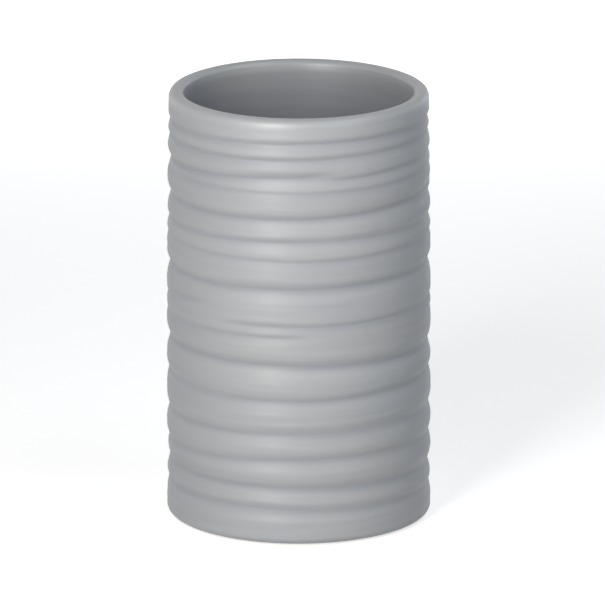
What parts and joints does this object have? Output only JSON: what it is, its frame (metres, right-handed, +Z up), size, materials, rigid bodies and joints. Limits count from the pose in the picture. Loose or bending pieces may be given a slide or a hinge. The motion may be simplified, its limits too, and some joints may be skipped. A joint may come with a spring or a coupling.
{
  "type": "bathroom tumbler",
  "caption": "Round free-standing ceramic tumbler with an uneven ribbed outside, a smooth open inside, a full round lip and non-slip feet under a recessed base.",
  "frame": {"origin": "centre of the standing plane, on the tumbler's axis, level with the undersides of the feet", "axes": "+Z up the tumbler's axis and out of its mouth, -Y towards the front as pictured, +X to the right"},
  "size_m": [0.07, 0.07, 0.1156],
  "materials": {
    "glazed_ceramic": "satin matt grey glaze, bare clay on the foot ring",
    "clear_silicone": "soft translucent",
    "adhesive": "thin acrylic film"
  },
  "bodies": {
    "root": {"tumbler_body": "glazed_ceramic", "front_left_foot": "clear_silicone", "front_right_foot": "clear_silicone", "back_right_foot": "clear_silicone", "back_left_foot": "clear_silicone", "front_left_adhesive": "adhesive", "front_right_adhesive": "adhesive", "back_right_adhesive": "adhesive", "back_left_adhesive": "adhesive"}
  },
  "joints": []
}
